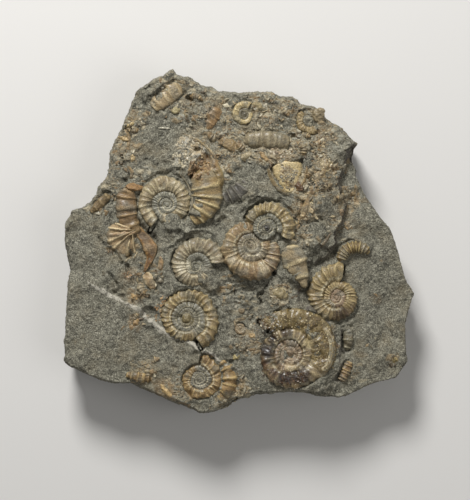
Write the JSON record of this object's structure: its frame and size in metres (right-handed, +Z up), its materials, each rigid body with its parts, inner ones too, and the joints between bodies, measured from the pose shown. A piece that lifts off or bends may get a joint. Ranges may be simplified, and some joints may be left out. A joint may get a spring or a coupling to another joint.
{
  "type": "promicroceras ammonite slab",
  "caption": "Loose slab of grey mudstone with small ribbed ammonites and shell fragments exposed in its upper face; lies flat on its underside.",
  "frame": {"origin": "middle of the slab's bounding box, on the face that it rests on", "axes": "+Z up, out of the face with the ammonites; +Y to the pointed end of the slab; +X to the right seen from above"},
  "size_m": [0.0918, 0.09, 0.0189],
  "materials": {
    "mudstone": "matt broken rock",
    "cream_shell": "satin calcite shell",
    "ochre_shell": "satin calcite shell",
    "brown_shell": "satin calcite shell",
    "amber_shell": "semi-gloss calcite shell",
    "olive_shell": "semi-gloss calcite shell"
  },
  "bodies": {
    "root": {"matrix_slab": "mudstone", "ammonite_upper_left": "cream_shell", "ammonite_centre": "brown_shell", "ammonite_centre_top": "ochre_shell", "ammonite_centre_left": "cream_shell", "ammonite_lower_left": "ochre_shell", "ammonite_bottom": "ochre_shell", "ammonite_lower_right": "olive_shell", "ammonite_right": "ochre_shell", "ammonite_top": "ochre_shell", "ammonite_top_right": "ochre_shell", "ammonite_tiny": "brown_shell", "whorl_centre_right": "ochre_shell", "whorl_arc_right": "ochre_shell", "whorl_bar_top": "brown_shell", "whorl_upper_left": "brown_shell", "whorl_lower_right": "ochre_shell", "broken_chamber": "ochre_shell", "curved_shell_right": "amber_shell", "shell_blade_left": "amber_shell", "shell_blade_lower": "amber_shell", "whorl_left_edge": "brown_shell", "whorl_bottom_edge": "ochre_shell", "ribs_lower_right": "brown_shell"}
  },
  "joints": []
}
